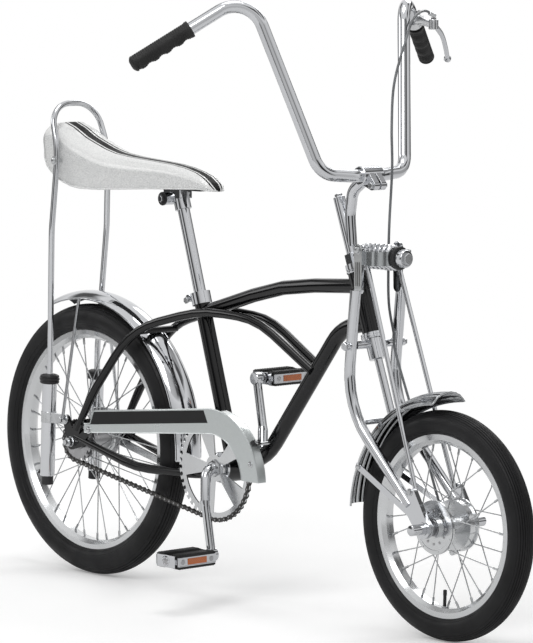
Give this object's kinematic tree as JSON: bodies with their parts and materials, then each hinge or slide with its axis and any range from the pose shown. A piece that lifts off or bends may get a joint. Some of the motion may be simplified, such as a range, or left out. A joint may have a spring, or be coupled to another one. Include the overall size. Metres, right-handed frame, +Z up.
{
  "type": "bicycle",
  "caption": "Chopper-style bicycle with high bars, a long saddle with a hoop behind it, a sprung fork and a small front wheel.",
  "frame": {"origin": "the point on top of the saddle where the rider sits, in the middle of the bicycle", "axes": "+X forward, +Y to the rider's left, +Z up; the wheels stand 786 mm below the origin"},
  "size_m": [1.3838, 0.7176, 1.0777],
  "materials": {
    "black_paint": "gloss",
    "chrome": "polished",
    "steel": "satin",
    "silver": "satin",
    "aluminium": "polished",
    "tyre": "matte",
    "rubber": "matte",
    "white_vinyl": "gloss",
    "cable_sleeve": "satin"
  },
  "bodies": {
    "frame": {"head_tube": "black_paint", "top_tube": "black_paint", "down_tube": "black_paint", "seat_tube": "black_paint", "curved_tube_right": "black_paint", "curved_tube_left": "black_paint", "bottom_bracket": "black_paint", "chain_stay_right": "black_paint", "chain_stay_left": "black_paint", "frame_end_right": "black_paint", "frame_end_left": "black_paint", "rear_axle": "steel", "seat_clamp": "chrome", "seat_post": "chrome", "saddle_clamp": "steel", "saddle_pan": "black_paint", "saddle_pad": "white_vinyl", "hoop": "chrome", "strut_right": "chrome", "strut_left": "chrome", "rear_fender": "chrome", "rear_fender_stays": "chrome", "chain_guard": "silver", "chain": "steel", "coaster_arm": "steel"},
    "rear_wheel": {"rear_tyre": "tyre", "rear_rim": "aluminium", "rear_spoking": "steel", "rear_hub": "steel"},
    "rear_sprocket": {"rear_cog": "steel"},
    "crankset": {"chainring": "silver", "crank": "chrome"},
    "right_pedal": {"pedal_right": "rubber"},
    "left_pedal": {"pedal_left": "rubber"},
    "steering": {"headset": "chrome", "steerer": "chrome", "fork_leg_right": "chrome", "fork_leg_left": "chrome", "truss_rods": "chrome", "spring_carrier": "chrome", "fork_spring": "chrome", "spring_strap": "chrome", "front_fender": "chrome", "front_fender_braces": "chrome", "front_axle": "chrome", "brake_plate": "aluminium", "stem": "chrome", "handlebar": "chrome", "grip_right": "rubber", "grip_left": "rubber", "brake_lever": "chrome", "brake_cable": "cable_sleeve"},
    "front_wheel": {"front_tyre": "tyre", "front_rim": "aluminium", "front_spoking": "steel", "front_hub": "aluminium"}
  },
  "joints": [
    {"name": "steering", "type": "hinge", "parent": "frame", "child": "steering", "pos_m": [0.75104, 0, -0.61292], "axis": [-0.342, 0, 0.9397], "range_deg": [-60, 60]},
    {"name": "front_wheel_spin", "type": "hinge", "parent": "steering", "child": "front_wheel", "pos_m": [0.814, 0, -0.59], "axis": [0, 1, 0], "continuous": true},
    {"name": "rear_wheel_spin", "type": "hinge", "parent": "frame", "child": "rear_wheel", "pos_m": [-0.12, 0, -0.532], "axis": [0, 1, 0], "continuous": true},
    {"name": "rear_sprocket_spin", "type": "hinge", "parent": "frame", "child": "rear_sprocket", "pos_m": [-0.12, 0, -0.532], "axis": [0, 1, 0], "continuous": true},
    {"name": "crank_spin", "type": "hinge", "parent": "frame", "child": "crankset", "pos_m": [0.272, 0, -0.543], "axis": [0, 1, 0], "continuous": true},
    {"name": "right_pedal_spin", "type": "hinge", "parent": "crankset", "child": "right_pedal", "pos_m": [0.30619, 0, -0.6911], "axis": [0, 1, 0], "continuous": true},
    {"name": "left_pedal_spin", "type": "hinge", "parent": "crankset", "child": "left_pedal", "pos_m": [0.23781, 0, -0.3949], "axis": [0, 1, 0], "continuous": true}
  ],
  "couplings": [
    {"joint": "rear_sprocket_spin", "follows": "crank_spin", "ratio": 2.5556}
  ]
}
